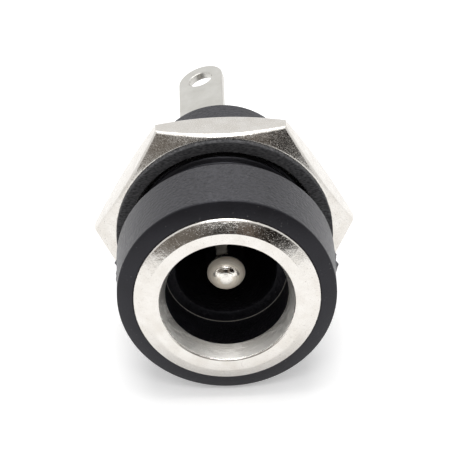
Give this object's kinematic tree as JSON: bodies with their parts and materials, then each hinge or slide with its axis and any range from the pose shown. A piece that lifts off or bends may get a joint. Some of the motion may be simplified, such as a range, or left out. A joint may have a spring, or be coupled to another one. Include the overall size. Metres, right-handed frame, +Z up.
{
  "type": "dc barrel jack",
  "caption": "Panel-mount DC power socket with a round-tipped centre pin, nickel front ring, flanged black barrel, hex nut and solder lugs.",
  "frame": {"origin": "on the axis of the jack, in the plane of the flange's rear face that seats on the panel", "axes": "-Y out of the mouth, +Y towards the solder lugs, +Z up from the nut flat that it lies on"},
  "size_m": [0.0162, 0.0222, 0.014],
  "materials": {
    "black_moulding": "moulded, fine spark-eroded grain",
    "nickel_plate": "turned brass, bright nickel plate",
    "black_fibre": "die-cut black fibre, rough",
    "tinned_sheet": "stamped sheet, satin nickel plate"
  },
  "bodies": {
    "root": {"housing": "black_moulding", "front_ring": "nickel_plate", "centre_pin": "nickel_plate", "hex_nut": "nickel_plate", "flat_washer": "black_fibre", "sleeve_contact": "tinned_sheet", "switch_contact": "tinned_sheet", "centre_terminal": "tinned_sheet"}
  },
  "joints": []
}
